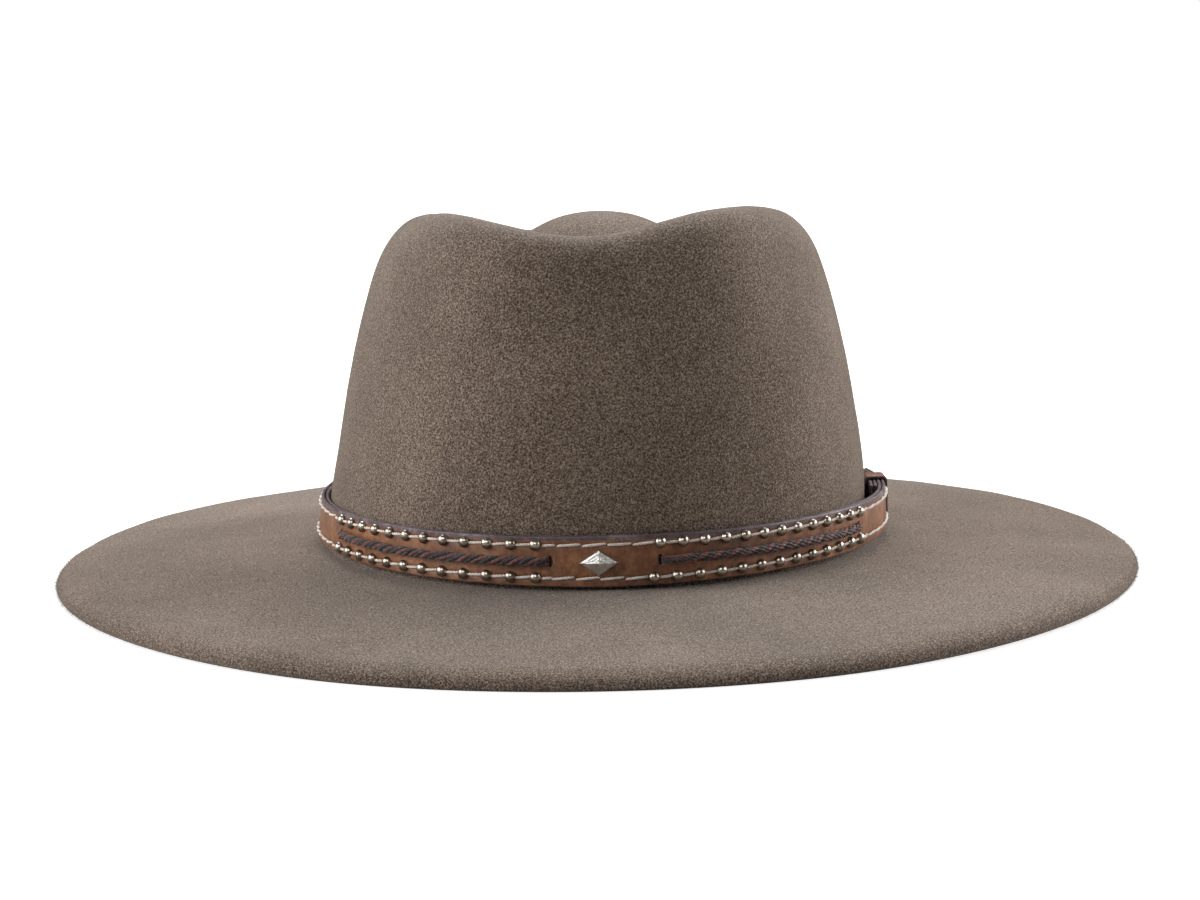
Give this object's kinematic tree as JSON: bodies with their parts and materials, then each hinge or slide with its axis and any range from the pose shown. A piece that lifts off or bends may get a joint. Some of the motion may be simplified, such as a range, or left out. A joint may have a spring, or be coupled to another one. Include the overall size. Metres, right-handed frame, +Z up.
{
  "type": "felt hat",
  "caption": "Wide-brimmed felt hat with a teardrop crown and a stitched leather band with domed studs, twisted lacings, a lozenge concho and a keeper loop.",
  "frame": {"origin": "middle of the hat's base, on the surface that the brim rests on", "axes": "+Z up, front of the hat toward -Y, wearer's left side toward +X"},
  "size_m": [0.35, 0.389, 0.124],
  "materials": {
    "felt": "matt wool felt, soft mottled nap",
    "band_lining_leather": "smooth, dyed edge",
    "band_face_leather": "satin, lightly mottled",
    "concho_metal": "polished white metal",
    "lacing_cord": "waxed, two colours twisted together",
    "stud_metal": "antique nickel"
  },
  "bodies": {
    "root": {"felt_body": "felt", "band_lining": "band_lining_leather", "band_face": "band_face_leather", "keeper": "band_face_leather", "concho": "concho_metal", "lacing_left": "lacing_cord", "lacing_right": "lacing_cord", "stud_left_top_01": "stud_metal", "stud_left_top_02": "stud_metal", "stud_left_top_03": "stud_metal", "stud_left_top_04": "stud_metal", "stud_left_top_05": "stud_metal", "stud_left_top_06": "stud_metal", "stud_left_top_07": "stud_metal", "stud_left_top_08": "stud_metal", "stud_left_top_09": "stud_metal", "stud_left_top_10": "stud_metal", "stud_left_top_11": "stud_metal", "stud_left_top_12": "stud_metal", "stud_left_bottom_01": "stud_metal", "stud_left_bottom_02": "stud_metal", "stud_left_bottom_03": "stud_metal", "stud_left_bottom_04": "stud_metal", "stud_left_bottom_05": "stud_metal", "stud_left_bottom_06": "stud_metal", "stud_left_bottom_07": "stud_metal", "stud_left_bottom_08": "stud_metal", "stud_left_bottom_09": "stud_metal", "stud_left_bottom_10": "stud_metal", "stud_left_bottom_11": "stud_metal", "stud_left_bottom_12": "stud_metal", "stud_right_top_01": "stud_metal", "stud_right_top_02": "stud_metal", "stud_right_top_03": "stud_metal", "stud_right_top_04": "stud_metal", "stud_right_top_05": "stud_metal", "stud_right_top_06": "stud_metal", "stud_right_top_07": "stud_metal", "stud_right_top_08": "stud_metal", "stud_right_top_09": "stud_metal", "stud_right_top_10": "stud_metal", "stud_right_top_11": "stud_metal", "stud_right_top_12": "stud_metal", "stud_right_top_13": "stud_metal", "stud_right_bottom_01": "stud_metal", "stud_right_bottom_02": "stud_metal", "stud_right_bottom_03": "stud_metal", "stud_right_bottom_04": "stud_metal", "stud_right_bottom_05": "stud_metal", "stud_right_bottom_06": "stud_metal", "stud_right_bottom_07": "stud_metal", "stud_right_bottom_08": "stud_metal", "stud_right_bottom_09": "stud_metal", "stud_right_bottom_10": "stud_metal", "stud_right_bottom_11": "stud_metal", "stud_right_bottom_12": "stud_metal", "stud_right_bottom_13": "stud_metal"}
  },
  "joints": []
}
